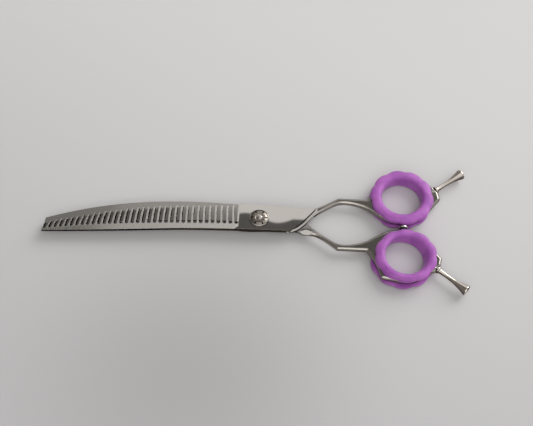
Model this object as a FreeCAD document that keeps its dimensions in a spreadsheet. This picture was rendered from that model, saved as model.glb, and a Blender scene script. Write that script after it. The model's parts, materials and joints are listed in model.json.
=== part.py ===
import FreeCAD, Part
import Sketcher
import math
import os

# Curved thinning shears for grooming: a comb half and a cutting half turn on one stud.
# Working frame: pivot axis at x = y = 0, the plane where the halves meet at z = 0,
# blades along -X, finger rings along +X, comb half and dial on the +Z side.
# Every sub-part is moved at the end, so that the shears lie on z = 0 with the
# middle of their footprint at the origin.

driving_dimensions = [
    ("blade_reach", 98.6, "pivot axis to the blade tip"),
    ("heel_reach", 9.4, "pivot axis to the end of the ground blade"),
    ("ride_gap", 0.1, "space between the two halves"),
    ("web_thick", 2.1, "thickness of a half round the pivot"),
    ("blade_thick", 1.9, "thickness of a blade at its heel"),
    ("tip_thick", 1.1, "thickness of a blade at its tip"),
    ("slot_count", 35, "gaps between the comb teeth"),
    ("tooth_width", 0.87, "width of a comb tooth"),
    ("pitch_tip", 2.40, "spacing of the gaps at the tip"),
    ("pitch_heel", 2.73, "spacing of the gaps at the heel"),
    ("tooth_bevel", 3.4, "length of the thinned end of the teeth"),
    ("tooth_drop", 0.5, "how much that end is thinned"),
    ("notch_width", 0.4, "hair notch in the end of a tooth"),
    ("notch_depth", 0.35, "depth of that notch"),
    ("edge_bevel", 5.6, "width of the bevel behind the cutting edge"),
    ("edge_drop", 0.85, "how much the cutting edge is thinned"),
    ("bar_thick", 2.6, "thickness of a shank and its ring"),
    ("bar_bevel", 0.65, "bevel along a shank"),
    ("step_radius", 25.2, "round the pivot, where a shank becomes full thickness"),
    ("ring_along", 65.85, "pivot to ring along the shears"),
    ("ring_aside", 15.35, "pivot to ring across the shears"),
    ("upper_bore_along", 64.95, "pivot to the upper finger hole along the shears"),
    ("upper_bore_aside", 14.95, "pivot to the upper finger hole across the shears"),
    ("lower_bore_along", 65.85, "pivot to the lower finger hole along the shears"),
    ("lower_bore_aside", 15.75, "pivot to the lower finger hole across the shears"),
    ("ring_bore", 11.2, "radius of the hole in a ring"),
    ("ring_rim", 13.2, "outer radius of a ring where it is round"),
    ("insert_bore", 9.3, "radius of the finger hole"),
    ("insert_neck", 11.1, "outer radius of the insert inside the ring"),
    ("insert_height", 7.2, "height of the insert over both flanges"),
    ("insert_waist", 2.8, "space between the flanges"),
    ("insert_mouth", 0.9, "rounding of the finger hole"),
    ("lobe_count", 10, "lobes round a flange"),
    ("lobe_radius", 7.5, "radius of a lobe"),
    ("lobe_centre", 7.1, "ring axis to a lobe's centre"),
    ("lobe_bevel", 0.8, "bevel round a flange"),
    ("upper_lobe_turn", 11.7, "how far the upper insert is turned in its ring"),
    ("boss_along", 15.0, "ring centre to the tang's seat along the shears"),
    ("boss_aside", 5.5, "ring centre to the tang's seat across the shears"),
    ("tang_angle", 38.5, "tang from the line of the shears"),
    ("tang_length", 15.9, "finger rest beyond the ring"),
    ("tang_rod", 1.0, "radius of the finger rest's rod"),
    ("tang_flare", 2.4, "radius of its flared end"),
    ("spigot_length", 2.1, "threaded end in the ring"),
    ("stud_shaft", 1.95, "radius of the pivot stud"),
    ("stud_neck", 2.3, "radius of the keyed neck"),
    ("stud_flat", 2.05, "stud axis to each key flat"),
    ("stud_head", 4.3, "radius of the head at the back"),
    ("stud_thread", 1.7, "radius of the threaded end"),
    ("running_fit", 0.05, "radial clearance of a turning fit"),
    ("sleeve_wall", 0.48, "wall of the bearing sleeve"),
    ("seat_radius", 4.2, "counterbore under the dial"),
    ("seat_floor", 1.2, "height of the counterbore's floor"),
    ("washer_radius", 4.6, "slip washer between the halves"),
    ("washer_thick", 0.35, "thickness of the slip washer"),
    ("dial_radius", 3.95, "tension dial"),
    ("dial_top", 3.0, "height of the dial's petals"),
    ("crystal_radius", 1.5, "corner radius of the crystal"),
    ("crystal_foot", 2.8, "height of the dial's cup for the crystal"),
    ("petal_count", 6, "petals and key slots of the dial"),
    ("bezel_radius", 4.6, "outer radius of the bezel"),
    ("click_count", 20, "notches in the click ring"),
    ("bumper_radius", 2.1, "radius of the bumper cup"),
    ("bumper_stem", 1.3, "length of its stem in the ring"),
    ("bumper_face", 1.95, "flat on each ring, from the line of the shears"),
]

doc = FreeCAD.newDocument("thinning_shears")
sheet = doc.addObject("Spreadsheet::Sheet", "sizes")
for row, (alias, value, note) in enumerate(driving_dimensions, start=1):
    sheet.set(f"A{row}", note)
    sheet.set(f"B{row}", str(value))
    sheet.setAlias(f"B{row}", alias)
doc.recompute()

size = {alias: float(sheet.get(alias)) for alias, value, note in driving_dimensions}
half_gap = size["ride_gap"] / 2
comb_side = 1
cutting_side = -1
bore_centre = {
    comb_side: (size["upper_bore_along"], size["upper_bore_aside"]),
    cutting_side: (size["lower_bore_along"], -size["lower_bore_aside"]),
}


def vec(x, y, z=0.0):
    return FreeCAD.Vector(x, y, z)


def polar(radius, degrees):
    return (radius * math.cos(math.radians(degrees)), radius * math.sin(math.radians(degrees)))


def new_body(name):
    body = doc.addObject("PartDesign::Body", name)
    body.Label = name
    return body


def new_sketch(body, name, role="XY_Plane", lift=None):
    # a sketch on one of the body's own planes, raised along that plane's normal
    sketch = body.newObject("Sketcher::SketchObject", name)
    plane = [feature for feature in body.Origin.OriginFeatures if feature.Role == role][0]
    sketch.AttachmentSupport = [(plane, "")]
    sketch.MapMode = "FlatFace"
    if lift:
        sketch.setExpression("AttachmentOffset.Base.z", lift)
    return sketch


def trace(sketch, start, *moves):
    # a closed outline from start: each move is an end point, or a middle and an end
    # point for an arc, or more points for a smooth curve through all of them
    here = start
    for move in moves:
        points = [vec(*here)] + [vec(*point) for point in move]
        if len(move) == 1:
            sketch.addGeometry(Part.LineSegment(points[0], points[1]), False)
        elif len(move) == 2:
            sketch.addGeometry(Part.Arc(*points), False)
        else:
            curve = Part.BSplineCurve()
            curve.interpolate(points)
            sketch.addGeometry(curve, False)
        here = move[-1]


def ring_of(sketch, *aliases, spare=0.0, at=(0.0, 0.0)):
    # a circle whose radius is the sum of cells of the sheet and a small spare
    radius = sum(size[alias] for alias in aliases) + spare
    index = sketch.addGeometry(Part.Circle(vec(*at), vec(0, 0, 1), radius), False)
    constraint = sketch.addConstraint(Sketcher.Constraint("Radius", index, radius))
    cells = [f"sizes.{alias}" for alias in aliases]
    sketch.setExpression(f"Constraints[{constraint}]", " + ".join(cells + [str(spare)]))


def pad(body, name, sketch, length, down=False):
    feature = body.newObject("PartDesign::Pad", name)
    feature.Profile = sketch
    feature.setExpression("Length", length)
    feature.Reversed = down
    doc.recompute()
    return feature


def cut(body, name, sketch, length=None, up=False, both_ways=False):
    # a pocket that must remove metal: by a length, or through everything
    before = body.Shape.Volume
    feature = body.newObject("PartDesign::Pocket", name)
    feature.Profile = sketch
    if length:
        feature.setExpression("Length", length)
    else:
        feature.Type = "ThroughAll"
    feature.Reversed = up
    if both_ways:
        feature.Midplane = True
    doc.recompute()
    if body.Shape.Volume > before - 1e-4:
        raise ValueError(f"{name} removes nothing")
    return feature


def turn(body, name, sketch, axis, kind="PartDesign::Revolution"):
    feature = body.newObject(kind, name)
    feature.Profile = sketch
    feature.ReferenceAxis = (sketch, [axis])
    feature.Angle = 360
    doc.recompute()
    return feature


def edges_where(feature, wanted):
    # names of the feature's edges whose middle and ends all pass a test
    names = []
    for number, edge in enumerate(feature.Shape.Edges, start=1):
        low, high = edge.ParameterRange
        places = [edge.valueAt(low + (high - low) * part) for part in (0.02, 0.5, 0.98)]
        if all(wanted(place) for place in places):
            names.append(f"Edge{number}")
    return names


def bevel(body, name, base, wanted, across):
    feature = body.newObject("PartDesign::Chamfer", name)
    feature.Base = (base, edges_where(base, wanted))
    feature.setExpression("Size", across)
    doc.recompute()
    return feature


def tilt_at(x):
    # lean of a comb gap from straight across, following the curve of the blade
    along = -x / size["blade_reach"]
    return -4.5 + 8.0 * along + 13.0 * along * along


def spine_of_comb():
    # the comb's back, from the ricasso to the tip
    return [(-15.0, -6.25), (-35.0, -7.0), (-56.0, -8.55), (-77.0, -10.0), (-size["blade_reach"], -11.3)]


def tips_of_comb():
    # the line of the tooth ends, from the tip to the heel
    tip = -size["blade_reach"]
    return [(tip + 1.2, -6.5), (-80.0, -1.9), (-60.0, 2.6), (-40.0, 5.0), (-20.0, 6.2), (-size["heel_reach"], 6.9)]


def spine_of_cutter():
    # the cutting blade's back, from the tip to the pivot
    tip = -size["blade_reach"]
    return [(tip + 0.8, -4.0), (-82.8, 1.0), (-64.9, 5.2), (-46.5, 7.6), (-28.0, 8.4), (-12.0, 8.2)]


def edge_of_cutter():
    # the cutting edge, from the heel to the tip
    return [(-20.0, -1.0), (-40.0, -1.9), (-60.0, -3.9), (-80.0, -6.7), (-size["blade_reach"], -10.2)]


def shank_outline(sketch, side):
    # shank and finger ring seen from above: from the web's lower corner along the
    # inner edge to the ring, round its facets and back along the outer edge, which
    # on the cutting half leaves a narrower root hidden under the comb half
    along = size["ring_along"]
    aside = size["ring_aside"]
    rim = size["ring_rim"]
    flat = size["bumper_face"] - aside

    def place(x, y):
        return (x, side * y)

    def ring(x, y):
        return place(along + x, aside + y)

    lean = math.radians(size["tang_angle"])
    boss_x, boss_y = size["boss_along"], size["boss_aside"]
    boss_half = 2.0
    boss_low = ring(boss_x + boss_half * math.sin(lean), boss_y - boss_half * math.cos(lean))
    boss_high = ring(boss_x - boss_half * math.sin(lean), boss_y + boss_half * math.cos(lean))
    inner_edge = [(14.6, -5.75), (17.4, -4.5), (21.4, -0.7), (26.3, 4.6), (30.6, 7.5)]
    inner_edge += [(36.2, 10.6), (43.0, 10.5), (48.8, 8.6), (53.0, 5.9), (57.1, 3.4)]
    if side == comb_side:
        outer_edge = [(32.6, 11.3), (28.6, 8.9), (24.4, 7.2), (19.0, 6.9), (12.6, 6.75)]
    else:
        outer_edge = [(32.6, 10.9), (28.6, 8.2), (24.4, 6.5), (20.6, 6.3), (17.6, 4.9), (12.6, 4.0)]
    trace(
        sketch,
        place(12.6, -5.9),
        [place(*point) for point in inner_edge] + [ring(-4.4, flat)],
        [ring(3.4, flat)],
        [ring(10.7, -7.5)],
        [ring(16.9, 0.3)],
        [boss_low],
        [boss_high],
        [ring(*polar(rim, 36))],
        [ring(*polar(rim, 72)), ring(*polar(rim, 108))],
        [ring(-10.2, 11.6)],
        [ring(-12.8, 4.3), ring(-16.6, -1.9)],
        [place(36.0, 13.55)],
        [place(*point) for point in outer_edge],
        [place(12.6, -5.9)],
    )
    ring_of(sketch, "ring_bore", at=bore_centre[side])


def web_outline(sketch, side, heel_y, head_y, over_pivot, over_neck, end):
    # the thick web round the pivot, with the curved plunge line at the blade's heel;
    # its outer edge passes the pivot, the neck and the end on the shank
    heel = -size["heel_reach"]

    def place(x, y):
        return (x, side * y)

    trace(
        sketch,
        place(heel, head_y),
        [place(heel + 0.3, 1.5), place(heel - 0.1, -3.6)],
        [place(heel - 0.45, -4.7), place(heel - 1.6, heel_y)],
        [place(0.0, -5.95), place(14.2, -5.75)],
        [place(18.6, -1.8), place(22.2, 2.2), place(*end)],
        [place(14.0, over_neck), place(0.0, over_pivot), place(heel, head_y)],
    )


def blade_taper(sketch, side):
    # wedge of metal that is ground away, so that the blade thins towards the tip
    heel = -size["heel_reach"] - 1.7
    tip = -size["blade_reach"] - 1.0
    thick = half_gap + size["blade_thick"]
    thin = half_gap + size["tip_thick"]
    spare = thick + 1.0
    trace(
        sketch,
        (heel, side * thick),
        [(tip, side * thin)],
        [(tip, side * spare)],
        [(heel, side * spare)],
        [(heel, side * thick)],
    )


def blade_face(x):
    # height of a blade's outer face above the meeting plane
    heel = -size["heel_reach"] - 1.7
    share = (heel - x) / (size["blade_reach"] + 1.0 + heel)
    return half_gap + size["blade_thick"] + (size["tip_thick"] - size["blade_thick"]) * share


def ground_edge(body, name, side, line, width, drop, inward):
    # a long bevel ground on a blade's outer face: drop deep along the line of the edge
    # and running out at width from it; inward is the way from the edge to the metal
    sections = []
    over = 1.0
    for index, (x, y) in enumerate(line):
        top = blade_face(x)
        low = top - drop * (1 + over / width)
        near, far = y - inward * over, y + inward * width
        section = new_sketch(body, f"{name}_{index}", "YZ_Plane", lift=f"{x}")
        trace(
            section,
            (far, side * top),
            [(near, side * low)],
            [(near, side * (top + over))],
            [(far, side * (top + over))],
            [(far, side * top)],
        )
        sections.append(section)
    before = body.Shape.Volume
    loft = body.newObject("PartDesign::SubtractiveLoft", name)
    loft.Profile = sections[0]
    loft.Sections = sections[1:]
    loft.Ruled = True
    doc.recompute()
    if body.Shape.Volume > before - 1:
        raise ValueError(f"{name} removes nothing")
    return loft


def comb_gaps():
    # for each gap from the tip to the heel: its root centre, the ways along and across
    # it, as the gaps lean with the curve of the blade, and half its width
    count = int(size["slot_count"])
    growth = (size["pitch_heel"] - size["pitch_tip"]) / (count - 2) / 2
    first = -size["blade_reach"] + 1.1
    gaps = []
    for index in range(count):
        half = (size["pitch_tip"] + 2 * index * growth - size["tooth_width"]) / 2
        x = first + index * size["pitch_tip"] + index * (index - 1) * growth
        along = -x / size["blade_reach"]
        root_y = -3.2 - 2.6 * along - 4.7 * along**3
        lean = math.radians(tilt_at(x))
        up = vec(math.sin(lean), math.cos(lean))
        out = vec(math.cos(lean), -math.sin(lean))
        gaps.append((vec(x, root_y) + up * half, up, out, half))
    return gaps


def tip_point(tips, root, up):
    # where a line from root along up meets the curve of the tooth ends
    far = Part.LineSegment(root, root + up * 20).toShape()
    return far.distToShape(tips.toShape())[1][0][0]


def comb_outline(sketch):
    # comb blade seen from above: back, toe, then down and up round every gap, with
    # bowed sides and a round root, and a small V notch in the end of each tooth
    bow = 0.12
    inside = -size["heel_reach"] + 3.0
    tips = Part.BSplineCurve()
    tips.interpolate([vec(*point) for point in tips_of_comb()])
    moves = [spine_of_comb(), [tips_of_comb()[0]]]
    last = None
    for root, up, out, half in comb_gaps():
        left, right = root - out * half, root + out * half
        left_end, right_end = tip_point(tips, left, up), tip_point(tips, right, up)
        middle = (root + tip_point(tips, root, up)) * 0.5 - out * bow
        if last:
            crest = (last + left_end) * 0.5
            notch = out * (size["notch_width"] / 2)
            moves += [[crest - notch], [crest - up * size["notch_depth"]], [crest + notch]]
        moves += [[left_end], [middle - out * half], [left], [root - up * half, right]]
        moves += [[middle + out * half], [right_end]]
        last = right_end
    moves += [[(inside, 6.9)], [(inside, -6.0)]]
    trace(sketch, (inside, -6.0), *moves)


def shank_and_ring(body, side):
    # the forged shank and ring, bevelled, and cut away where the other half passes
    outline = new_sketch(body, body.Name + "_shank_plan", lift="-sizes.bar_thick / 2")
    shank_outline(outline, side)
    bar = pad(body, body.Name + "_shank", outline, "sizes.bar_thick")
    centre = vec(*bore_centre[side])

    def on_outer_edge(place):
        at_face = abs(abs(place.z) - size["bar_thick"] / 2) < 1e-3
        from_bore = vec(place.x, place.y).distanceToPoint(centre) - size["ring_bore"]
        return at_face and abs(from_bore) > 0.1

    bevelled = bevel(body, body.Name + "_shank_bevel", bar, on_outer_edge, "sizes.bar_bevel")
    body.Tip = bevelled
    clearance = new_sketch(body, body.Name + "_sweep_plan", lift=f"{side} * sizes.ride_gap / 2")
    ring_of(clearance, "step_radius")
    cut(body, body.Name + "_sweep", clearance, "sizes.bar_thick", up=side < 0)


def tang_hole(body, side):
    # blind hole in the ring for the finger rest's threaded end, turned about its axis
    lean = math.radians(size["tang_angle"])
    axis = vec(math.cos(lean), side * math.sin(lean))
    across = vec(-axis.y, axis.x)
    mouth = vec(size["ring_along"] + size["boss_along"], side * (size["ring_aside"] + size["boss_aside"]))
    bottom = mouth - axis * (size["spigot_length"] + 0.1)
    over = mouth + axis * 0.5
    reach = across * (size["tang_rod"] + 0.02)
    section = new_sketch(body, body.Name + "_tang_hole_section")
    corners = [bottom, bottom + reach, over + reach, over]
    for here, there in zip(corners, corners[1:] + corners[:1]):
        section.addGeometry(Part.LineSegment(here, there), False)
    section.addGeometry(Part.LineSegment(bottom, over), True)
    turn(body, body.Name + "_tang_hole", section, "Axis0", "PartDesign::Groove")


def comb_half():
    body = new_body("comb_blade_half")
    side = comb_side
    shank_and_ring(body, side)
    web = new_sketch(body, "comb_web_plan", lift="sizes.ride_gap / 2")
    web_outline(web, side, -6.15, 6.95, 7.2, 6.75, (25.6, 6.5))
    pad(body, "comb_web", web, "sizes.web_thick")
    blade = new_sketch(body, "comb_blade_plan", lift="sizes.ride_gap / 2")
    comb_outline(blade)
    pad(body, "comb_blade", blade, "sizes.blade_thick")
    wedge = new_sketch(body, "comb_taper_side", "XZ_Plane")
    blade_taper(wedge, side)
    ground = cut(body, "comb_taper", wedge, both_ways=True)
    body.Tip = ground
    inner_tips = tips_of_comb()[1:-1]
    bevel_line = [(-size["blade_reach"] - 1.0, -7.1)] + inner_tips + [(-size["heel_reach"] - 1.5, 6.8)]
    ground_edge(body, "tooth_thinning", side, bevel_line, size["tooth_bevel"], size["tooth_drop"], -1)
    bore = new_sketch(body, "sleeve_bore_plan")
    ring_of(bore, "stud_shaft", "running_fit", "sleeve_wall", spare=0.02)
    cut(body, "sleeve_bore", bore, both_ways=True)
    seat = new_sketch(body, "dial_seat_plan", lift="sizes.seat_floor")
    ring_of(seat, "seat_radius")
    cut(body, "dial_seat", seat, up=True)
    recess = new_sketch(body, "washer_recess_plan", lift="sizes.washer_thick")
    ring_of(recess, "washer_radius", spare=0.1)
    cut(body, "washer_recess", recess)
    tang_hole(body, side)
    stem = new_sketch(body, "bumper_hole_section")
    low = size["bumper_face"] - 0.2
    high = size["bumper_face"] + size["bumper_stem"] + 0.05
    trace(
        stem,
        (size["ring_along"], low),
        [(size["ring_along"] + 0.92, low)],
        [(size["ring_along"] + 0.92, high)],
        [(size["ring_along"], high)],
        [(size["ring_along"], low)],
    )
    stem.addGeometry(Part.LineSegment(vec(size["ring_along"], low), vec(size["ring_along"], high)), True)
    turn(body, "bumper_hole", stem, "Axis0", "PartDesign::Groove")
    return body


def cutting_half():
    body = new_body("cutting_blade_half")
    side = cutting_side
    shank_and_ring(body, side)
    web = new_sketch(body, "cutter_web_plan", lift="-sizes.ride_gap / 2")
    web_outline(web, side, -7.6, 4.9, 4.85, 4.0, (24.0, 5.9))
    pad(body, "cutter_web", web, "sizes.web_thick", down=True)
    blade = new_sketch(body, "cutter_blade_plan", lift="-sizes.ride_gap / 2")
    spine = spine_of_cutter()
    edge = edge_of_cutter()
    inside = -size["heel_reach"] + 3.0
    trace(
        blade,
        (inside, -1.4),
        [(-size["heel_reach"], -1.1)] + edge,
        [spine[0]],
        spine[1:] + [(inside, 7.9)],
        [(inside, -1.4)],
    )
    pad(body, "cutter_blade", blade, "sizes.blade_thick", down=True)
    wedge = new_sketch(body, "cutter_taper_side", "XZ_Plane")
    blade_taper(wedge, side)
    ground = cut(body, "cutter_taper", wedge, both_ways=True)
    body.Tip = ground
    bevel_line = [(-size["heel_reach"] - 1.5, -0.9)] + edge[:-1] + [(-size["blade_reach"] - 1.0, -10.3)]
    ground_edge(body, "edge_grinding", side, bevel_line, size["edge_bevel"], size["edge_drop"], 1)
    key = new_sketch(body, "stud_key_plan")
    key_outline(key, 0.02)
    cut(body, "stud_key", key, both_ways=True)
    tang_hole(body, side)
    return body


def key_outline(sketch, spare):
    # a circle with two flats, which stops the stud from turning in the cutting half
    radius = size["stud_neck"] + spare
    flat = size["stud_flat"] + spare
    reach = math.sqrt(radius * radius - flat * flat)
    trace(
        sketch,
        (flat, -reach),
        [(flat, reach)],
        [(0.0, radius), (-flat, reach)],
        [(-flat, -reach)],
        [(0.0, -radius), (flat, -reach)],
    )


def revolved(name, start, *moves, role="XZ_Plane", axis="V_Axis"):
    # a sub-part turned from one half section
    body = new_body(name)
    section = new_sketch(body, name + "_section", role)
    trace(section, start, *moves)
    turn(body, name + "_turned", section, axis)
    return body


def finger_insert(name, side):
    # soft ring liner: a lobed blank, waisted to snap over the metal ring, with a
    # rounded finger hole
    body = new_body(name)
    count = int(size["lobe_count"])
    step = 360.0 / count
    outline = new_sketch(body, name + "_plan", lift="-sizes.insert_height / 2")
    centre, radius = size["lobe_centre"], size["lobe_radius"]
    half_step = math.radians(step / 2)
    valley = centre * math.cos(half_step) + math.sqrt(radius**2 - (centre * math.sin(half_step)) ** 2)
    turned = size["upper_lobe_turn"] if side == comb_side else 0.0
    for index in range(count):
        start = vec(*polar(valley, turned + index * step))
        crest = vec(*polar(centre + radius, turned + (index + 0.5) * step))
        end = vec(*polar(valley, turned + (index + 1) * step))
        outline.addGeometry(Part.Arc(start, crest, end), False)
    blank = pad(body, name + "_blank", outline, "sizes.insert_height")
    top = size["insert_height"] / 2
    soft = bevel(body, name + "_edges", blank, lambda place: abs(abs(place.z) - top) < 1e-3, "sizes.lobe_bevel")
    body.Tip = soft
    waist = size["insert_waist"] / 2
    neck = size["insert_neck"]
    groove = new_sketch(body, name + "_waist_section", "XZ_Plane")
    trace(groove, (neck, -waist), [(neck, waist)], [(16.0, waist)], [(16.0, -waist)], [(neck, -waist)])
    turn(body, name + "_waist", groove, "V_Axis", "PartDesign::Groove")
    bore, mouth = size["insert_bore"], size["insert_mouth"]
    hole = new_sketch(body, name + "_hole_section", "XZ_Plane")
    bends = [polar(mouth, angle) for angle in (30, 60)]
    low_bends = [[(bore + mouth - x, -top + mouth - y)] for x, y in reversed(bends)]
    high_bends = [[(bore + mouth - x, top - mouth + y)] for x, y in bends]
    trace(
        hole,
        (0.0, -top - 0.5),
        [(bore + mouth, -top - 0.5)],
        [(bore + mouth, -top)],
        *low_bends,
        [(bore, -top + mouth)],
        [(bore, top - mouth)],
        *high_bends,
        [(bore + mouth, top)],
        [(bore + mouth, top + 0.5)],
        [(0.0, top + 0.5)],
        [(0.0, -top - 0.5)],
    )
    turn(body, name + "_hole", hole, "V_Axis", "PartDesign::Groove")
    body.Placement.Base = vec(*bore_centre[side])
    return body


def tang(name, side):
    # finger rest: threaded end, collar, slim rod and a flared end with a hollow face
    rod, flare, length = size["tang_rod"], size["tang_flare"], size["tang_length"]
    body = revolved(
        name,
        (-size["spigot_length"], 0.0),
        [(-size["spigot_length"], rod)],
        [(0.0, rod)],
        [(0.0, 1.5)],
        [(0.3, 1.7)],
        [(0.6, 1.7)],
        [(0.9, 1.4)],
        [(1.2, rod + 0.05)],
        [(6.0, rod - 0.05)],
        [(9.6, rod + 0.15)],
        [(12.6, rod + 0.65)],
        [(length - 0.3, flare)],
        [(length, flare - 0.25)],
        [(length - 0.9, 0.0)],
        [(-size["spigot_length"], 0.0)],
        role="XY_Plane",
        axis="H_Axis",
    )
    base = vec(size["ring_along"] + size["boss_along"], side * (size["ring_aside"] + size["boss_aside"]))
    body.Placement = FreeCAD.Placement(base, FreeCAD.Rotation(vec(0, 0, 1), side * size["tang_angle"]))
    return body


def bumper():
    # the stop between the rings: a metal cup screwed into the comb half's ring, and
    # the soft pad in it that meets the flat of the other ring
    face, radius, stem = size["bumper_face"], size["bumper_radius"], size["bumper_stem"]
    cup = revolved(
        "bumper_cup",
        (0.0, face + stem),
        [(0.9, face + stem)],
        [(0.9, face)],
        [(1.25, face)],
        [(1.25, 0.2)],
        [(radius, 0.0)],
        [(radius, -0.5)],
        [(radius - 0.2, -0.7)],
        [(radius - 0.5, -0.7)],
        [(radius - 0.5, -0.2)],
        [(0.0, -0.2)],
        [(0.0, face + stem)],
        role="XY_Plane",
    )
    soft = radius - 0.55
    pad_body = revolved(
        "bumper_pad",
        (0.0, -0.23),
        [(soft, -0.23)],
        [(soft, -0.75)],
        [(1.25, -1.0)],
        [(1.05, -face + 0.02)],
        [(0.0, -face + 0.02)],
        [(0.0, -0.23)],
        role="XY_Plane",
    )
    for body in (cup, pad_body):
        body.Placement.Base = vec(size["ring_along"], 0)
    return [cup, pad_body]


def pivot_stud():
    # flat head at the back with a screwdriver slot, keyed neck, shaft and thread
    body = new_body("pivot_stud")
    back = -half_gap - size["web_thick"]
    bottom = -size["insert_height"] / 2
    head, shaft, thread = size["stud_head"], size["stud_shaft"], size["stud_thread"]
    section = new_sketch(body, "stud_section", "XZ_Plane")
    trace(
        section,
        (0.0, bottom),
        [(head - 0.5, bottom)],
        [(head, bottom + 0.5)],
        [(head, back)],
        [(shaft, back)],
        [(shaft, 1.8)],
        [(thread, 1.8)],
        [(thread, 2.5)],
        [(thread - 0.1, 2.6)],
        [(0.0, 2.6)],
        [(0.0, bottom)],
    )
    turn(body, "stud_turned", section, "V_Axis")
    neck = new_sketch(body, "stud_neck_plan", lift=f"{back}")
    key_outline(neck, 0.0)
    pad(body, "stud_neck", neck, "sizes.web_thick")
    slot = new_sketch(body, "stud_slot_plan", lift="-sizes.insert_height / 2")
    trace(slot, (-5.0, -0.45), [(5.0, -0.45)], [(5.0, 0.45)], [(-5.0, 0.45)], [(-5.0, -0.45)])
    cut(body, "stud_slot", slot, "0.6", up=True)
    return body


def pivot_sleeve():
    # nylon sleeve in the comb half, which runs on the stud
    inner = size["stud_shaft"] + size["running_fit"]
    outer = inner + size["sleeve_wall"]
    low, high = size["washer_thick"] + 0.05, size["seat_floor"]
    return revolved(
        "pivot_sleeve", (inner, low), [(outer, low)], [(outer, high)], [(inner, high)], [(inner, low)]
    )


def slip_washer():
    # thin washer on the cutting half's inner face, which the comb half rides on
    inner, outer = size["stud_neck"] + 0.3, size["washer_radius"]
    low = -half_gap
    high = low + size["washer_thick"]
    return revolved("slip_washer", (inner, low), [(outer, low)], [(outer, high)], [(inner, high)], [(inner, low)])


def disc_spring():
    # coned spring washer that presses the halves together
    floor = size["seat_floor"] + 0.02
    return revolved(
        "disc_spring",
        (2.1, floor + 0.31),
        [(3.9, floor)],
        [(3.95, floor + 0.24)],
        [(2.15, floor + 0.55)],
        [(2.1, floor + 0.31)],
    )


def click_ring():
    # notched plate on the stud's shoulder, which the dial clicks over
    body = revolved("click_ring", (1.75, 1.8), [(3.9, 1.8)], [(3.9, 2.05)], [(1.75, 2.05)], [(1.75, 1.8)])
    plan = new_sketch(body, "click_notch_plan", lift="2.05")
    trace(plan, (3.0, -0.16), [(4.0, -0.2)], [(4.0, 0.2)], [(3.0, 0.16)], [(3.0, -0.16)])
    notch = cut(body, "click_notch", plan, "0.12")
    around(body, "click_notches", notch, plan, "sizes.click_count")
    return body


def around(body, name, feature, sketch, count):
    # repeat a feature about the sketch's normal axis
    pattern = body.newObject("PartDesign::PolarPattern", name)
    pattern.Originals = [feature]
    pattern.Axis = (sketch, ["N_Axis"])
    pattern.Angle = 360
    pattern.setExpression("Occurrences", count)
    body.Tip = pattern
    doc.recompute()
    return pattern


def dial_bezel():
    # bright ring pressed into the comb half round the dial
    low, face = 1.75, half_gap + size["web_thick"]
    inner = size["dial_radius"] + 0.08
    outer = size["bezel_radius"]
    return revolved(
        "dial_bezel",
        (inner, low),
        [(size["seat_radius"] - 0.01, low)],
        [(size["seat_radius"] - 0.01, face)],
        [(outer, face)],
        [(outer, face + 0.3)],
        [(outer - 0.15, face + 0.55)],
        [(inner + 0.1, face + 0.6)],
        [(inner, face + 0.45)],
        [(inner, low)],
    )


def tension_dial():
    # cap nut on the stud: rim, domed rosette with a cup for the crystal, and radial
    # key slots that part its petals
    body = new_body("tension_dial")
    outer, top = size["dial_radius"], size["dial_top"]
    bore = size["stud_thread"] + size["running_fit"]
    roof = 2.65
    cup = size["crystal_radius"] + 0.04
    section = new_sketch(body, "dial_section", "XZ_Plane")
    trace(
        section,
        (bore, 2.12),
        [(outer, 2.12)],
        [(outer, 2.5)],
        [(outer - 0.3, 2.62)],
        [(outer - 1.2, top - 0.07)],
        [(cup + 0.25, top)],
        [(cup, top - 0.08)],
        [(cup, size["crystal_foot"])],
        [(0.0, size["crystal_foot"])],
        [(0.0, roof)],
        [(bore, roof)],
        [(bore, 2.12)],
    )
    turn(body, "dial_turned", section, "V_Axis")
    plan = new_sketch(body, "key_slot_plan", lift="sizes.dial_top + 0.1")
    trace(plan, (2.55, -0.2), [(3.7, -0.42)], [(3.78, 0.0), (3.7, 0.42)], [(2.55, 0.2)], [(2.4, 0.0), (2.55, -0.2)])
    slot = cut(body, "key_slot", plan)
    around(body, "key_slots", slot, plan, "sizes.petal_count")
    return body


def dial_crystal():
    # cut crystal glued in the dial's cup: an eight-sided girdle under a flat-topped crown
    body = new_body("dial_crystal")
    girdle = size["crystal_foot"] + 0.3
    foot = new_sketch(body, "crystal_foot_plan", lift="sizes.crystal_foot")
    polygon(foot, size["crystal_radius"], 8)
    pad(body, "crystal_girdle", foot, "0.3")
    crown = new_sketch(body, "crystal_crown", lift=f"{girdle}")
    polygon(crown, size["crystal_radius"], 8)
    table = new_sketch(body, "crystal_table", lift=f"{girdle} + 0.3")
    polygon(table, size["crystal_radius"] * 0.55, 8)
    loft = body.newObject("PartDesign::AdditiveLoft", "crystal_facets")
    loft.Profile = crown
    loft.Sections = [table]
    loft.Ruled = True
    doc.recompute()
    return body


def polygon(sketch, radius, count):
    corners = [vec(*polar(radius, (index + 0.5) * 360 / count)) for index in range(count)]
    for here, there in zip(corners, corners[1:] + corners[:1]):
        sketch.addGeometry(Part.LineSegment(here, there), False)


nodes = [
    comb_half(),
    cutting_half(),
    finger_insert("upper_finger_insert", comb_side),
    finger_insert("lower_finger_insert", cutting_side),
    tang("upper_tang", comb_side),
    tang("lower_tang", cutting_side),
    *bumper(),
    pivot_stud(),
    pivot_sleeve(),
    slip_washer(),
    disc_spring(),
    click_ring(),
    dial_bezel(),
    tension_dial(),
    dial_crystal(),
]
doc.recompute()

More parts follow.
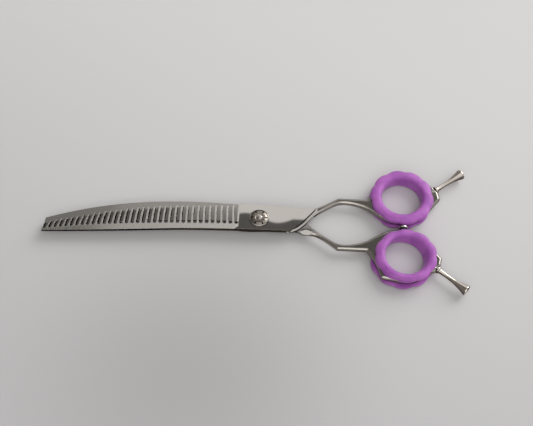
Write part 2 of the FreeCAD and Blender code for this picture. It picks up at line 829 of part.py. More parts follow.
# lay the shears on z = 0 with the middle of their footprint at the origin
box = FreeCAD.BoundBox()
for node in nodes:
    box.add(node.Shape.optimalBoundingBox(False))
shift = vec(-box.Center.x, -box.Center.y, -box.ZMin)
for node in nodes:
    node.Placement.Base = node.Placement.Base + shift
doc.recompute()

for item in doc.Objects:
    if {"Invalid", "Error"} & set(item.State):
        raise ValueError(f"{item.Name} failed: {item.State}")
os.makedirs("parts", exist_ok=True)
for node in nodes:
    if node.Shape.isNull() or not node.Shape.isValid() or len(node.Shape.Solids) != 1:
        raise ValueError(f"{node.Label} is not one valid solid")
    node.Shape.exportStep(os.path.join("parts", node.Label + ".step"))
    print(node.Label, "volume", round(node.Shape.Volume, 2), "mm3")
print("pivot at", tuple(round(value, 4) for value in shift))
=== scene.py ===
import json
from functools import partial

import bmesh
import bpy
import numpy as np
from mathutils import Matrix, Vector


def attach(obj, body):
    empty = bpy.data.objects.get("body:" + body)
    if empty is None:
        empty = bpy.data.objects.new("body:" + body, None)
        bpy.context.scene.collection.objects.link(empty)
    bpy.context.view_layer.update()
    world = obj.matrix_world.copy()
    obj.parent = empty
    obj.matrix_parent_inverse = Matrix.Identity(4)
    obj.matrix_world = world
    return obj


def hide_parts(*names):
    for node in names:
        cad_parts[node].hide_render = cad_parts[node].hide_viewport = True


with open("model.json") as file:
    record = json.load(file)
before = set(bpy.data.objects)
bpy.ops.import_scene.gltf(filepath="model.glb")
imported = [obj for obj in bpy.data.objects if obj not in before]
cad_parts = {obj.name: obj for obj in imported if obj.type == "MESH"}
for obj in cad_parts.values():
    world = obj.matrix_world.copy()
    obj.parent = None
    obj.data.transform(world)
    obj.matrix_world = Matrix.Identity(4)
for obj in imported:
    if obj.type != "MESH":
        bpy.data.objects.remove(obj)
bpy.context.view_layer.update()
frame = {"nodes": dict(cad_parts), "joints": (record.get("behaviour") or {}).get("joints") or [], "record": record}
nodes = frame["nodes"]
mm = 0.001
joints = {joint["name"]: joint for joint in frame["joints"]}
mounts = {mount["name"]: mount for mount in frame["record"]["mounts"]}
pivot = np.array(joints["blade_pivot"]["pos_m"]) / mm  # pivot axis, where the halves meet, in mm
print("frame loaded, pivot at", pivot.round(3).tolist())


# shader nodes

smooth = {"interpolation_type": "SMOOTHSTEP"}  # eased between its limits
tinted = {"data_type": "RGBA"}  # between colours, not numbers
noiseSpan = (0.3, 0.7)  # between which most of a noise lies


def linearColour(hexText):
    # sRGB hex to the linear colour that the sockets take
    parts = np.array([int(hexText[i:i + 2], 16) / 255 for i in (0, 2, 4)])
    linear = np.where(parts <= 0.04045, parts / 12.92, ((parts + 0.055) / 1.055) ** 2.4)
    return (*linear.tolist(), 1.0)


def plug(socket, value):
    # gives a socket a number, a vector, a colour as hex, or a link from a node or its output
    if isinstance(value, bpy.types.Node):
        value = next(output for output in value.outputs if output.enabled)
    if isinstance(value, bpy.types.NodeSocket):
        socket.id_data.links.new(value, socket)
    else:
        socket.default_value = linearColour(value) if isinstance(value, str) else value


def addNode(tree, kind, *values, **named):
    # one node with its settings and links: values go to its inputs in order, a name with a
    # capital is an input as well, and the other names are settings
    node = tree.nodes.new("ShaderNode" + kind)
    for name, value in named.items():
        if name[0].islower():
            setattr(node, name, value)
    inputs = [socket for socket in node.inputs if socket.enabled]
    for socket, value in zip(inputs, values):
        plug(socket, value)
    for name, value in named.items():
        if name[0].isupper():
            plug(node.inputs[name], value)
    return node


def startMaterial(name, sockets):
    # a material with one Principled shader, whose constants stand on its own sockets
    material = bpy.data.materials.new(name)
    material.use_nodes = True
    shader = material.node_tree.nodes["Principled BSDF"].inputs
    for socket, value in sockets.items():
        plug(shader[socket], value)
    return material, shader, partial(addNode, material.node_tree)


def placeInMm(add):
    # object coordinates in mm, measured from the pivot; a pixel of the photograph is 0.46 mm,
    # so a pattern finer than that shows only from closer by
    scaled = add("VectorMath", add("TexCoord").outputs["Object"], operation="SCALE", Scale=1 / mm)
    return add("VectorMath", scaled, pivot.tolist(), operation="SUBTRACT")


# camera: fitted to the photograph

cameraSetup = {
    "lens": 67.54,
    "sensor": 36,
    "clip": (0.01, 20),  # in m
    "place": (18.874, -235.1, 396.2),
    "target": (5.074, 4.2, 3.6),
}


def makeCamera(setup):
    data = bpy.data.cameras.new("photoCamera")
    data.lens = setup["lens"]
    data.sensor_width = setup["sensor"]
    data.clip_start, data.clip_end = setup["clip"]
    camera = bpy.data.objects.new("photoCamera", data)
    bpy.context.scene.collection.objects.link(camera)
    place = Vector(setup["place"]) * mm
    ahead = (Vector(setup["target"]) * mm - place).normalized()
    right = ahead.cross(Vector((0, 0, 1))).normalized()
    up = right.cross(ahead)
    turned = Matrix((right, up, -ahead)).transposed()
    camera.matrix_world = Matrix.Translation(place) @ turned.to_4x4()
    bpy.context.scene.camera = camera


# floor: a sheet of matt paper with painted light: paler towards the lamp, and a painted soft shadow

floorSetup = {
    "reach": 8.0,  # half side, in m
    "pale": "D0CECE",
    "paintedDimTone": "BBB9BA",
    "towards": (0.32, 0.95, 0.0),
    "fade": 0.14,  # how far either side of the middle the tone changes, in m
    "paintedShadowTone": "9D9A9B",
    "paintedShadowPlace": (-0.025, -0.075, 0.0),  # middle of a painted soft shadow on the paper
    "paintedShadowReach": 0.10,
    "paintedShadowShare": 0.55,  # how much of its tone shows in its middle
    "roughness": 0.9,
    "gloss": 0.1,
}


def makeFloor(setup):
    reach = setup["reach"]
    corners = [(-reach, -reach, 0), (reach, -reach, 0), (reach, reach, 0), (-reach, reach, 0)]
    mesh = bpy.data.meshes.new("paperFloor")
    mesh.from_pydata(corners, [], [(0, 1, 2, 3)])
    floor = bpy.data.objects.new("paperFloor", mesh)
    bpy.context.scene.collection.objects.link(floor)
    dry = {"Roughness": setup["roughness"], "Specular IOR Level": setup["gloss"]}
    material, shader, add = startMaterial("mattPaper", dry)
    coords = add("TexCoord").outputs["Object"]
    ahead = add("VectorMath", coords, setup["towards"], operation="DOT_PRODUCT")
    # painted light and shade: the paper is painted paler towards the lamp, and darker round a painted soft shadow
    paintedLitShare = add("MapRange", ahead, -setup["fade"], setup["fade"], **smooth)
    paper = add("Mix", paintedLitShare, setup["paintedDimTone"], setup["pale"], **tinted)
    far = add("VectorMath", coords, setup["paintedShadowPlace"], operation="DISTANCE")
    paintedShadow = add("MapRange", far, 0.0, setup["paintedShadowReach"], setup["paintedShadowShare"], 0.0, **smooth)
    plug(shader["Base Color"], add("Mix", paintedShadow, paper, setup["paintedShadowTone"], **tinted))
    mesh.materials.append(material)


# light: a pale room, dimmer to the left, with a dark card overhead and a dark side behind
# the camera, which the polished metal shows; each is a plane through the shears' place,
# with the sines of the angles from it between which it fades

roomSetup = {
    "pale": "EFEEEE",
    "cardTone": "656463",
    "darkTone": "46423F",
    "cardEdge": ((0.0, -0.857, 0.515), -0.001, 0.001),
    "cardEnd": ((0.0, -0.857, 0.515), 0.30, 0.22),
    "dimLeft": ((1.0, 0.0, 0.0), -0.1, -0.32),
    "dimTone": "85817D",
    "darkSide": ((0.0, -0.7, -0.72), 0.30, 0.48),
}
lampSetup = {
    "softLamp": {"towards": (0.66, 0.6, 0.58), "distance": 1.8, "width": 1.5, "power": 22.0},
    "frontFill": {"towards": (-0.1, -0.7, 0.8), "distance": 1.6, "width": 1.6, "power": 7.0},
}  # distance and width in m


def makeRoom(setup):
    world = bpy.data.worlds.new("paleRoom")
    bpy.context.scene.world = world
    world.use_nodes = True
    add = partial(addNode, world.node_tree)
    towards = add("TexCoord").outputs["Generated"]

    def beyond(plane):
        # 0 on one side of a plane of directions, 1 on the other
        normal, start, end = setup[plane]
        height = add("VectorMath", towards, normal, operation="DOT_PRODUCT")
        limits = (end, start, 1.0, 0.0) if start > end else (start, end, 0.0, 1.0)
        return add("MapRange", height, *limits, **smooth)

    onCard = add("Math", beyond("cardEdge"), beyond("cardEnd"), operation="MULTIPLY")
    room = add("Mix", beyond("dimLeft"), setup["pale"], setup["dimTone"], **tinted)
    room = add("Mix", beyond("darkSide"), room, setup["darkTone"], **tinted)
    room = add("Mix", onCard, room, setup["cardTone"], **tinted)
    plug(world.node_tree.nodes["Background"].inputs["Color"], room)


def makeLamps(setup):
    for name, settings in setup.items():
        data = bpy.data.lights.new(name, "AREA")
        data.shape = "DISK"
        data.size = settings["width"]
        data.energy = settings["power"]
        lamp = bpy.data.objects.new(name, data)
        bpy.context.scene.collection.objects.link(lamp)
        away = Vector(settings["towards"]).normalized()
        lamp.location = away * settings["distance"]
        lamp.rotation_euler = away.to_track_quat("Z", "Y").to_euler()


makeCamera(cameraSetup)
makeFloor(floorSetup)
makeRoom(roomSetup)
makeLamps(lampSetup)
bpy.context.scene.view_settings.view_transform = "Standard"
print("camera, floor, room and lamps made")


# surfaces: a profile of (radius, height) points turned about an axis

def softProfile(corners, closed=False, steps=7):
    # straight runs between corners (radius, height, softness): each corner becomes a
    # quadratic curve that starts and ends its own softness away from the corner
    data = np.array(corners, float)
    point, soft = data[:, :2], data[:, 2:3]
    back = np.roll(point, 1, axis=0) - point
    ahead = np.roll(point, -1, axis=0) - point
    start = point + back / np.linalg.norm(back, axis=1, keepdims=True) * soft
    end = point + ahead / np.linalg.norm(ahead, axis=1, keepdims=True) * soft
    t = np.linspace(0, 1, steps)[None, :, None]
    curve = (1 - t) ** 2 * start[:, None] + 2 * t * (1 - t) * point[:, None] + t**2 * end[:, None]
    row = curve.reshape(-1, 2)
    return np.vstack([row, row[:1]]) if closed else row


def evenRow(row, count):
    # the same profile with its points spaced evenly along it
    run = np.concatenate([[0], np.cumsum(np.linalg.norm(np.diff(row, axis=0), axis=1))])
    where = np.linspace(0, run[-1], count)
    return np.stack([np.interp(where, run, row[:, axis]) for axis in (0, 1)], axis=1)


def turnedGrid(row, around):
    # every profile point carried round the axis: x = r cos a, y = r sin a, z = height
    angle = np.linspace(0, 2 * np.pi, around, endpoint=False)[None]
    radius, height = row[:, :1], row[:, 1:]
    return np.stack([radius * np.cos(angle), radius * np.sin(angle), height + 0 * angle], axis=-1)


def alongAxis(grid, origin, towards):
    # turns a grid made about z so that z points towards, and moves it to origin
    ahead = np.array(towards, float) / np.linalg.norm(towards)
    helper = np.array([0.0, 0.0, 1.0]) if abs(ahead[2]) < 0.9 else np.array([1.0, 0.0, 0.0])
    across = np.cross(helper, ahead)
    across /= np.linalg.norm(across)
    upward = np.cross(ahead, across)
    return np.array(origin) + grid @ np.array([across, upward, ahead])


def surfaceMesh(name, grid, sharpAngle):
    # quads between neighbouring grid points, round the second direction, in mm to m;
    # faces that meet at more than the sharp angle, in degrees, keep a crisp edge
    rows, columns = grid.shape[:2]
    index = np.arange(rows * columns).reshape(rows, columns)
    beside = np.roll(index, -1, axis=1)
    quads = np.stack([index[:-1], beside[:-1], beside[1:], index[1:]], axis=-1).reshape(-1, 4)
    mesh = bpy.data.meshes.new(name)
    mesh.from_pydata((grid.reshape(-1, 3) * mm).tolist(), [], quads.tolist())
    work = bmesh.new()
    work.from_mesh(mesh)
    bmesh.ops.remove_doubles(work, verts=work.verts, dist=1e-6)
    bmesh.ops.recalc_face_normals(work, faces=work.faces)
    work.to_mesh(mesh)
    work.free()
    mesh.shade_smooth()
    mesh.set_sharp_from_angle(angle=np.radians(sharpAngle))
    return mesh


def placePiece(name, mesh, material, body, replaced):
    # a finished piece at the origin, on its body, in place of a CAD node
    piece = bpy.data.objects.new(name, mesh)
    bpy.context.scene.collection.objects.link(piece)
    mesh.materials.append(material)
    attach(piece, body)
    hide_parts(replaced)


# silicone ring liners

insertShape = {
    "lobes": 10,
    "lobeCentre": 7.1,  # axis to the centre of a lobe's arc
    "lobeRadius": 7.5,
    "turn": {"upper": 11.7, "lower": 0.0},  # degrees
    "lean": {"upper": (0.08, 0.12), "lower": (0.36, 0.2)},  # x for each mm of height, above and below
    "squeeze": {"upper": (1.0, 1.0), "lower": (0.955, 0.93)},  # of the upper flange, along and across
    "half": [  # radius, height, softness of one half of the section, from hole to waist
        (9.3, 2.9, 1.2), (10.5, 3.62, 0.7), (11.9, 3.72, 1.0), (13.3, 3.45, 0.9),
        (14.6, 2.75, 0.8), (14.6, 1.42, 0.35), (11.1, 1.36, 0.15),
    ],
    "fade": (11.2, 13.6),  # the lobes grow between these radii
    "flangeFrom": 1.3,  # height above which a point is on a flange
    "neck": (10.9, 1.4),  # radius beyond which, and height under which, it is on the neck in the steel
    "rowPoints": 130,
    "around": 300,
    "sharp": 60,
}
siliconeLook = {
    "purple": "AD62B6",
    "deep": "9C52A8",
    "cloudSize": 6.25,  # mm, over which the colour drifts
    "cloudSpan": (0.35, 0.65),
    "grainSize": 0.2,  # mm, coarser than the mould's own texture
    "grainDepth": 0.012,  # mm
    "roughness": (0.42, 0.52),
}


def insertGrid(setup, side):
    # the lobed liner: a closed section turned about z, whose outer part follows the
    # lobes' arcs, r = c cos p + sqrt(R^2 - (c sin p)^2), p being the angle from a crest;
    # the upper flange is then squeezed, and all but the neck in the steel leans, x + lean * z
    half = setup["half"]
    under = [(radius, -height, soft) for radius, height, soft in reversed(half)]
    row = evenRow(softProfile(half + under, closed=True), setup["rowPoints"])
    grid = turnedGrid(row, setup["around"])
    radius = np.hypot(grid[..., 0], grid[..., 1])
    angle = np.arctan2(grid[..., 1], grid[..., 0])
    step = 2 * np.pi / setup["lobes"]
    fromCrest = (angle - np.radians(setup["turn"][side])) % step - step / 2
    centre, reach = setup["lobeCentre"], setup["lobeRadius"]
    rim = centre * np.cos(fromCrest) + np.sqrt(reach**2 - (centre * np.sin(fromCrest)) ** 2)
    low, high = setup["fade"]
    share = np.clip((radius - low) / (high - low), 0, 1)
    weight = share * share * (3 - 2 * share) * (np.abs(grid[..., 2]) > setup["flangeFrom"])
    pulled = radius - weight * (centre + reach - rim)
    grid[..., :2] *= (pulled / radius)[..., None]
    onUpper = grid[..., 2:] > setup["flangeFrom"]
    grid[..., :2] *= 1 + share[..., None] * onUpper * (np.array(setup["squeeze"][side]) - 1)
    neckRadius, neckHeight = setup["neck"]
    inSteel = (radius > neckRadius) & (np.abs(grid[..., 2]) < neckHeight)
    above, below = setup["lean"][side]
    grid[..., 0] += np.where(inSteel, 0, np.where(grid[..., 2] > 0, above, below) * grid[..., 2])
    return grid


def makeSilicone(look):
    # satin silicone rubber with faint mould texture
    material, shader, add = startMaterial("satinSilicone", {
        "IOR": 1.42, "Subsurface Weight": 0.06, "Subsurface Scale": 0.002,
        "Sheen Weight": 0.12, "Sheen Roughness": 0.5,
    })
    place = placeInMm(add)
    cloud = add("TexNoise", Vector=place, Scale=1 / look["cloudSize"], Detail=2.0)
    drift = add("MapRange", cloud, *look["cloudSpan"], **smooth)
    plug(shader["Base Color"], add("Mix", drift, look["deep"], look["purple"], **tinted))
    grain = add("TexNoise", Vector=place, Scale=1 / look["grainSize"], Detail=3.0)
    plug(shader["Roughness"], add("MapRange", grain, *noiseSpan, *look["roughness"], **smooth))
    plug(shader["Normal"], add("Bump", Height=grain, Distance=look["grainDepth"] * mm, Strength=1.0))
    return material


silicone = makeSilicone(siliconeLook)
for side, body in (("upper", "comb_half"), ("lower", "cutting_half")):
    grid = insertGrid(insertShape, side)
    origin = np.array(mounts[side + "_finger_hole"]["pos_m"]) / mm
    mesh = surfaceMesh(side + "LobedLiner", grid + origin, insertShape["sharp"])
    placePiece(side + "LobedLiner", mesh, silicone, body, side + "_finger_insert")
print("silicone liners made")


# blade halves: places are in mm from the pivot, and a lie is a face's slope along y, which
# decides what a polished face shows: the dark card where it is positive, the room elsewhere

steelColours = {
    "blade": "C8C4BE",
    "paintedDarkSide": "5C564F",  # the upright sides, painted darker: painted dark reflection and shade
    # near-black with a blue cast at the tip: painted dark reflection
    "tipPaintedDarkSide": "101318",
    "paintedDarkSideFade": (-56.0, -26.0),  # where the painted dark on the sides grows paler
    "handle": "A7A29B",  # the shanks and rings, and their sides
    "handlePaintedDarkSide": "A39E98",
    "facing": (0.3, 0.9),  # how level a face is, from where it is a side to where it is not
}
steelRoughness = {
    "satin": (0.22, 0.30),  # of the comb's ground blade
    "mirror": 0.018,  # of the polished flat round the pivot
    "boss": 0.2,  # of the cutting half's flat beside the crossing
    "innerSatin": 0.24,  # of the cutting blade's inner face
    "innerPolish": 0.1,  # where the teeth run over it
    "tumbled": 0.15,  # of the shanks and rings
}
steelZones = {
    "heel": -10.0,  # the end of the ground blade
    "heelSpan": (-0.3, 0.3),
    "corner": (-6.2, -4.6),  # y where that end curves away towards the tip
    "cornerShift": -1.6,  # how far along x it has gone at the outer side
    "rim": ((0.0, 0.2), (0.5, 0.8)),  # past the heel: where a narrow rim begins and ends
    "neck": (25.0, 31.0),  # where the polished flat turns into the tumbled shank
    "toothEnds": (4.0, -0.00158, 7.0),  # y = c + b (x + a)^2
    "endsSpan": (-0.7, 0.3),
    "toothRoots": (98.0, 4.7, 2.6, -3.2),  # y = d + c t + b t^3, with t = x / a
    "rootsSpan": (-0.4, 0.4),
    "boss": (14.0, 16.0),  # where the cutting half's flat becomes satin, but for its scoop
}
steelLies = {
    "spine": (0.05, -0.055),  # of the comb's face at the tip and towards the heel
    "spineFade": (-90.0, -60.0),
    "tooth": -0.04,
    "rim": -0.05,
    "roll": 0.0021,  # of the comb half's flat, which rolls as it was ground by hand:
    "rollWave": (4.55, 2.9, 0.3),  # lie = roll * (sin(x / a + b) + c)
    "calm": 15.5,  # where the rolling ends
    "gap": (0.042, 0.007),  # of the cutting blade's face where the teeth run over it
    "gapFade": (-62.0, -30.0),
    "band": (0.03, 0.006),  # and beyond the tooth ends
    "bandFade": (-72.0, -62.0),
    "web": -0.028,  # of the cutting half's flat
    "boss": 0.014,
    "handle": 0.04,
}
steelRelief = {
    "grindSize": (1 / 7, 2.0, 2.0),  # a grinding line along x, y and z, coarser than a real one
    "grindDepth": 0.0009,
    "scoop": (21.8, -4.7, 0.0),  # middle of a shallow oval scoop in the cutting half's flat
    "scoopHalf": (2.6, 1.6),  # half its length and width
    "scoopRim": (0.6, 1.15),  # shares of those, between which it deepens
    "scoopPolish": (0.95, 1.1),  # and between which its polish ends
    "scoopDepth": 0.06,
    "edgeRound": (0.07, 0.9),  # rounded edges of the blades, and of the handles
    "roundSpan": (24.0, 32.0),  # between which the one becomes the other
}


def paintDarkSides(add, shader, face, paintedDarkSide):
    # upright faces are painted darker than the upper and lower faces, a painted dark reflection and shade,
    # also where they are seen at a glancing angle, which the specular tint sets for a metal
    upward = add("SeparateXYZ", add("TexCoord").outputs["Normal"]).outputs["Z"]
    level = add("Math", upward, operation="ABSOLUTE")
    onFace = add("MapRange", level, *steelColours["facing"], **smooth)
    tone = add("Mix", onFace, paintedDarkSide, face, **tinted)
    for socket in ("Base Color", "Specular Tint"):
        plug(shader[socket], tone)


def bladeZones(add, zones, along, aside):
    # shares, from 0 to 1, of a place's being past each line where the finish changes
    corner = add("MapRange", aside, *zones["corner"], zones["cornerShift"], 0.0, **smooth)
    heelLine = add("Math", corner, zones["heel"], operation="ADD")
    fromHeel = add("Math", along, heelLine, operation="SUBTRACT")
    rimBegins, rimEnds = (add("MapRange", fromHeel, *span, **smooth) for span in zones["rim"])
    shift, bow, height = zones["toothEnds"]
    squared = add("Math", add("Math", along, shift, operation="ADD"), 2.0, operation="POWER")
    endLine = add("Math", squared, bow, height, operation="MULTIPLY_ADD")
    fromEnds = add("Math", aside, endLine, operation="SUBTRACT")
    length, cubic, linear, start = zones["toothRoots"]
    share = add("Math", along, length, operation="DIVIDE")
    squared = add("Math", share, 2.0, operation="POWER")
    slope = add("Math", squared, cubic, linear, operation="MULTIPLY_ADD")
    rootLine = add("Math", slope, share, start, operation="MULTIPLY_ADD")
    fromRoots = add("Math", aside, rootLine, operation="SUBTRACT")
    return {
        "heel": add("MapRange", fromHeel, *zones["heelSpan"], **smooth),
        "rim": add("Math", rimBegins, rimEnds, operation="SUBTRACT"),
        "neck": add("MapRange", along, *zones["neck"], **smooth),
        "ends": add("MapRange", fromEnds, *zones["endsSpan"], **smooth),
        "roots": add("MapRange", fromRoots, *zones["rootsSpan"], **smooth),
    }


def combLie(add, lies, past, along):
    # the comb's spine and teeth, then the rolling flat with its rim
    spine = add("Mix", add("MapRange", along, *lies["spineFade"], **smooth), *lies["spine"])
    blade = add("Mix", past["roots"], spine, lies["tooth"])
    length, phase, lift = lies["rollWave"]
    rolling = add("Math", along, lies["calm"], operation="MINIMUM")
    turn = add("Math", rolling, 1 / length, phase, operation="MULTIPLY_ADD")
    wave = add("Math", add("Math", turn, operation="SINE"), lift, operation="ADD")
    rolled = add("Math", wave, lies["roll"], operation="MULTIPLY")
    flat = add("Mix", past["rim"], rolled, lies["rim"])
    return add("Mix", past["heel"], blade, flat)


def cutterLie(add, lies, past, along, offScoop):
    # the cutting blade under the teeth and beyond them, then its flat and boss
    gap = add("Mix", add("MapRange", along, *lies["gapFade"], **smooth), *lies["gap"])
    band = add("Mix", add("MapRange", along, *lies["bandFade"], **smooth), *lies["band"])
    blade = add("Mix", past["ends"], gap, band)
    flat = add("Mix", offScoop, lies["web"], lies["boss"])
    return add("Mix", past["heel"], blade, flat)


def leaningNormal(add, relief, along, lie):
    # the normal with rounded edges, leaning by the slope along y
    lean = add("CombineXYZ", Y=add("Math", lie, -1.0, operation="MULTIPLY"))
    turned = add("VectorTransform", lean, vector_type="VECTOR", convert_from="OBJECT", convert_to="WORLD")
    small, large = relief["edgeRound"]
    rounding = add("MapRange", along, *relief["roundSpan"], small * mm, large * mm, **smooth)
    edge = add("Bevel", Radius=rounding, samples=8)
    return add("VectorMath", add("VectorMath", edge, turned, operation="ADD"), operation="NORMALIZE")


def makeBladeSteel(name, cutter):
    # stainless steel: ground satin on the blades, polished round the pivot, tumbled
    # handles; the cutting blade's inner face is polished where the teeth run over it
    material, shader, add = startMaterial(name, {"Metallic": 1.0})
    place = placeInMm(add)
    spot = add("SeparateXYZ", place).outputs
    along = spot["X"]
    past = bladeZones(add, steelZones, along, spot["Y"])
    tones, rough, relief = steelColours, steelRoughness, steelRelief
    # the sides are painted dark, near-black towards the tip: painted dark reflection and shade
    paler = add("MapRange", along, *tones["paintedDarkSideFade"], **smooth)
    paintedDarkSide = add("Mix", paler, tones["tipPaintedDarkSide"], tones["paintedDarkSide"], **tinted)
    paintedDarkSide = add("Mix", past["neck"], paintedDarkSide, tones["handlePaintedDarkSide"], **tinted)
    face = add("Mix", past["neck"], tones["blade"], tones["handle"], **tinted)
    paintDarkSides(add, shader, face, paintedDarkSide)
    lines = add("VectorMath", place, [1 / size for size in relief["grindSize"]], operation="MULTIPLY")
    grind = add("TexNoise", Vector=lines, Scale=1.0, Detail=3.0)
    depth = relief["grindDepth"]
    onBlade = add("Math", past["heel"], -depth, depth, operation="MULTIPLY_ADD")
    height = add("Math", grind, onBlade, operation="MULTIPLY")
    if cutter:
        fromScoop = add("VectorMath", place, relief["scoop"], operation="SUBTRACT")
        shares = [1 / half for half in relief["scoopHalf"]]
        flattened = add("VectorMath", fromScoop, (*shares, 0.0), operation="MULTIPLY")
        oval = add("VectorMath", flattened, operation="LENGTH")
        onBoss = add("MapRange", along, *steelZones["boss"], **smooth)
        offPolish = add("MapRange", oval, *relief["scoopPolish"], **smooth)
        offScoop = add("Math", offPolish, onBoss, operation="MULTIPLY")
        blade = add("Mix", past["ends"], rough["innerPolish"], rough["innerSatin"])
        flat = add("Mix", offScoop, rough["mirror"], rough["boss"])
        lie = cutterLie(add, steelLies, past, along, offScoop)
        scooped = add("MapRange", oval, *relief["scoopRim"], 0.0, relief["scoopDepth"], **smooth)
        height = add("Math", height, scooped, operation="ADD")
    else:
        blade = add("MapRange", grind, *noiseSpan, *rough["satin"], **smooth)
        flat = rough["mirror"]
        lie = combLie(add, steelLies, past, along)
    ground = add("Mix", past["heel"], blade, flat)
    plug(shader["Roughness"], add("Mix", past["neck"], ground, rough["tumbled"]))
    lie = add("Mix", past["neck"], lie, steelLies["handle"])
    normal = leaningNormal(add, relief, along, lie)
    plug(shader["Normal"], add("Bump", Height=height, Distance=mm, Strength=1.0, Normal=normal))
    return material


# metals, plastics and glass of the smaller pieces, with pattern sizes and depths in mm

# each face tone comes with a darker tone painted on the upright sides: painted dark reflection and shade,
# near-black in the tension dial's slots
polishedLooks = {
    "polishedStainless": {"face": "D6CEC4", "paintedDarkSide": "6E665E", "roughness": 0.16, "markDepth": 0.004},
    "brightPlating": {"face": "D2CEC8", "paintedDarkSide": "6A645E", "roughness": 0.2, "markDepth": 0.002},
    "greyedPlating": {"face": "8F887F", "paintedDarkSide": "0E0C0B", "roughness": 0.3, "markDepth": 0.003},
    "nickelPlating": {"face": "E4E1DC", "paintedDarkSide": "CFCBC6", "roughness": 0.14, "markDepth": 0.004},
}
polishMarks = {
    "smearSize": 1.25,
    "smearSpan": (0.7, 1.3),  # times the roughness
    "markSize": 1 / 3,
}
turnedLook = {
    "colour": "C4C2BF",
    "ringSpacing": 1 / 9,  # coarser than the real ones
    "ringDepth": 0.006,
    "roughness": (0.2, 0.34),
}
mouldedLooks = {
    "naturalNylon": {"colour": "E4E0D4", "roughness": (0.39, 0.51), "subsurface": 0.1},
    "blackRubber": {"colour": "151517", "roughness": (0.49, 0.61), "subsurface": 0.0},
}
mouldedSkin = {"size": 0.25, "depth": 0.01}
bluedLook = {
    "blue": "3E4558",
    "straw": "75674E",
    "patchSize": 2.0,
    "strawSpan": (0.45, 0.7),
    "roughness": (0.2, 0.35),
}
crystalLook = {
    # the facets' painted reflection: dark and bright tones laid on at random
    "dark": "625A52",
    "bright": "D2CCC4",
    "facetSize": 2 / 3,
    "facetDepth": 0.12,
    "unevenness": 0.8,
    "paintedGlintSpan": (0.25, 0.6),
}


def makePolished(name):
    # polished or plated metal with faint smears and tool marks
    look = polishedLooks[name]
    material, shader, add = startMaterial(name, {"Metallic": 1.0})
    # upright sides painted darker: painted dark reflection and shade
    paintDarkSides(add, shader, look["face"], look["paintedDarkSide"])
    place = placeInMm(add)
    smear = add("TexNoise", Vector=place, Scale=1 / polishMarks["smearSize"], Detail=4.0)
    ends = [look["roughness"] * times for times in polishMarks["smearSpan"]]
    plug(shader["Roughness"], add("MapRange", smear, *noiseSpan, *ends, **smooth))
    marks = add("TexNoise", Vector=place, Scale=1 / polishMarks["markSize"], Detail=2.0)
    plug(shader["Normal"], add("Bump", Height=marks, Distance=look["markDepth"] * mm, Strength=1.0))
    return material


def makeTurnedSteel(look):
    # lathe-turned steel: fine rings about the pivot axis
    material, shader, add = startMaterial("turnedSteel", {"Metallic": 1.0, "Base Color": look["colour"]})
    flattened = add("VectorMath", placeInMm(add), (1.0, 1.0, 0.0), operation="MULTIPLY")
    radius = add("VectorMath", flattened, operation="LENGTH")
    fineness = 1 / look["ringSpacing"]
    rings = add("TexNoise", noise_dimensions="1D", W=radius, Scale=fineness, Detail=2.0)
    plug(shader["Roughness"], add("MapRange", rings, *noiseSpan, *look["roughness"], **smooth))
    plug(shader["Normal"], add("Bump", Height=rings, Distance=look["ringDepth"] * mm, Strength=1.0))
    return material


def makeMoulded(name):
    # moulded nylon or rubber with a slightly uneven skin
    look = mouldedLooks[name]
    material, shader, add = startMaterial(name, {
        "Base Color": look["colour"], "IOR": 1.5,
        "Subsurface Weight": look["subsurface"], "Subsurface Scale": 0.001,
    })
    skin = add("TexNoise", Vector=placeInMm(add), Scale=1 / mouldedSkin["size"], Detail=3.0)
    plug(shader["Roughness"], add("MapRange", skin, *noiseSpan, *look["roughness"], **smooth))
    plug(shader["Normal"], add("Bump", Height=skin, Distance=mouldedSkin["depth"] * mm, Strength=1.0))
    return material


def makeBluedSteel(look):
    # heat-blued spring steel, its tint shifting from blue to straw
    material, shader, add = startMaterial("bluedSpringSteel", {"Metallic": 1.0})
    heat = add("TexNoise", Vector=placeInMm(add), Scale=1 / look["patchSize"], Detail=2.0)
    hotter = add("MapRange", heat, *look["strawSpan"], **smooth)
    plug(shader["Base Color"], add("Mix", hotter, look["blue"], look["straw"], **tinted))
    plug(shader["Roughness"], add("MapRange", heat, *noiseSpan, *look["roughness"], **smooth))
    return material


def makeCrystal(look):
    # foil-backed cut glass: each small facet is painted light or dark, a painted reflection
    material, shader, add = startMaterial("cutGlass", {
        "Metallic": 0.75, "Roughness": 0.12, "Coat Weight": 1.0,
    })
    fineness = 1 / look["facetSize"]
    facet = add("TexVoronoi", Vector=placeInMm(add), Scale=fineness, Randomness=look["unevenness"])
    thrown = add("SeparateXYZ", facet.outputs["Color"]).outputs["X"]
    paintedGlint = add("MapRange", thrown, *look["paintedGlintSpan"], **smooth)
    plug(shader["Base Color"], add("Mix", paintedGlint, look["dark"], look["bright"], **tinted))
    relief = {"Height": facet.outputs["Distance"], "Distance": look["facetDepth"] * mm}
    plug(shader["Normal"], add("Bump", Strength=1.0, **relief))
    return material


def dress(material, *names):
    # gives a material to CAD nodes
    for name in names:
        slots = nodes[name].material_slots
        if not slots:
            nodes[name].data.materials.append(material)
        for slot in slots:
            slot.material = material


dress(makeBladeSteel("groundStainless", cutter=False), "comb_blade_half")
dress(makeBladeSteel("hollowGroundStainless", cutter=True), "cutting_blade_half")
dress(makeTurnedSteel(turnedLook), "pivot_stud")
dress(makeMoulded("naturalNylon"), "pivot_sleeve", "slip_washer")
dress(makeBluedSteel(bluedLook), "disc_spring", "click_ring")
dress(makePolished("brightPlating"), "dial_bezel")
dress(makePolished("greyedPlating"), "tension_dial")
dress(makeCrystal(crystalLook), "dial_crystal")
print("CAD nodes dressed")


# finger rests

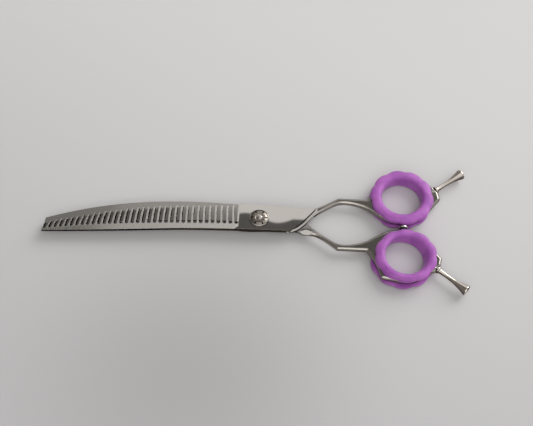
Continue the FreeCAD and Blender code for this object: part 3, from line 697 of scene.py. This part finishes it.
tangShape = {
    "seat": (15.0, 5.5),  # from the ring's centre: along and across the shears
    "ring": (65.85, 15.35),  # that centre, from the pivot
    "lean": 38.5,  # degrees
    "row": [  # radius, distance along the rest, softness
        (0.0, -2.1, 0.0), (1.0, -2.1, 0.1), (1.0, 0.0, 0.0), (1.7, 0.0, 0.12), (1.7, 0.65, 0.15),
        (1.1, 1.15, 0.3), (0.93, 5.8, 2.2), (1.1, 9.8, 2.2), (1.72, 13.0, 1.3), (2.4, 15.6, 0.12),
        (2.3, 15.9, 0.1), (2.05, 15.75, 0.1), (1.1, 14.2, 0.6), (0.0, 13.9, 0.0),
    ],
    "steps": 9,
    "around": 56,
    "sharp": 35,
}


def makeTangs(setup):
    # a profile from the threaded end to the hollow face, turned about the rest's line
    steel = makePolished("polishedStainless")
    grid = turnedGrid(softProfile(setup["row"], steps=setup["steps"]), setup["around"])
    lean = np.radians(setup["lean"])
    for side, sign, body in (("upper", 1, "comb_half"), ("lower", -1, "cutting_half")):
        place = np.array(setup["ring"]) + np.array(setup["seat"])
        origin = pivot + np.array([place[0], sign * place[1], 0])
        turned = alongAxis(grid, origin, (np.cos(lean), sign * np.sin(lean), 0))
        mesh = surfaceMesh(side + "FingerRest", turned, setup["sharp"])
        placePiece(side + "FingerRest", mesh, steel, body, side + "_tang")


makeTangs(tangShape)
print("finger rests made")


# bumper between the rings

bumperShape = {
    "along": 65.85,  # from the pivot
    "cup": [  # radius, distance from the line of the shears towards the comb half, softness
        (0.0, 3.25, 0.0), (0.9, 3.25, 0.1), (0.9, 1.95, 0.0), (1.25, 1.95, 0.1), (1.25, 0.3, 0.2),
        (2.1, 0.0, 0.16), (2.1, -0.6, 0.2), (1.75, -0.7, 0.12), (1.6, -0.5, 0.1), (1.6, -0.2, 0.0),
        (0.0, -0.2, 0.0),
    ],
    "pad": [
        (0.0, -0.23, 0.0), (1.55, -0.23, 0.0), (1.55, -0.9, 0.2), (1.1, -1.93, 0.35), (0.0, -1.93, 0.0),
    ],
    "around": 48,
    "sharp": 35,
}


def makeBumper(setup):
    # cup and pad: two profiles turned about the line across the shears
    origin = pivot + np.array([setup["along"], 0, 0])
    rubber = makeMoulded("blackRubber")
    nickel = makePolished("nickelPlating")
    looks = {"cup": (nickel, "tang_steel"), "pad": (rubber, "bumper_rubber")}
    for part, (material, slot) in looks.items():
        grid = alongAxis(turnedGrid(softProfile(setup[part]), setup["around"]), origin, (0, 1, 0))
        mesh = surfaceMesh("bumper" + part.title(), grid, setup["sharp"])
        placePiece("bumper" + part.title(), mesh, material, "comb_half", "bumper_" + part)


makeBumper(bumperShape)
print("bumper made")
